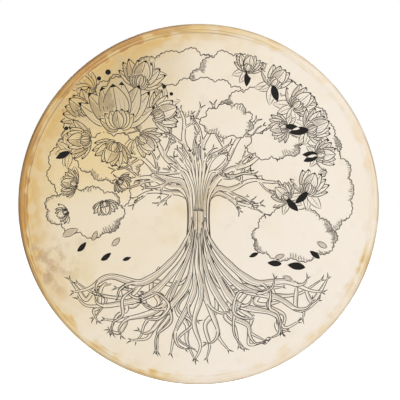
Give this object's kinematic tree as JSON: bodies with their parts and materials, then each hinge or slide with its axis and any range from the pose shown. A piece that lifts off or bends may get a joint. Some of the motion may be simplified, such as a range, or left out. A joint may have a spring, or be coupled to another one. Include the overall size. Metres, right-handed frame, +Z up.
{
  "type": "frame drum",
  "caption": "Hand-held frame drum: rawhide head stretched over a bent-wood hoop and laced behind to a steel ring, with leather-wrapped cross grip.",
  "frame": {"origin": "centre of the drum, halfway between the struck face and the back rim", "axes": "+Y along the drum's axis towards the back rim, the struck face looks towards -Y; +Z is up as the drum is held upright; +X is to the right seen from the struck side"},
  "size_m": [0.4, 0.06, 0.4],
  "materials": {
    "ash_wood": "oiled bent ash",
    "copper": "hammered copper",
    "rawhide": "dry natural rawhide with drawn ink lines",
    "ring_steel": "plain welded ring",
    "rawhide_lace": "dried rawhide lace",
    "wrap_leather": "soft brown leather",
    "waxed_thread": "waxed linen thread"
  },
  "bodies": {
    "root": {"hoop": "ash_wood", "hoop_rivets": "copper", "head": "rawhide", "center_ring": "ring_steel", "lacing_top": "rawhide_lace", "lacing_right": "rawhide_lace", "lacing_bottom": "rawhide_lace", "lacing_left": "rawhide_lace", "lace_knots": "rawhide_lace", "grip_wrap_top": "wrap_leather", "grip_wrap_right": "wrap_leather", "grip_wrap_bottom": "wrap_leather", "grip_wrap_left": "wrap_leather", "binding_top": "waxed_thread", "binding_right": "waxed_thread", "binding_bottom": "waxed_thread", "binding_left": "waxed_thread"}
  },
  "joints": []
}
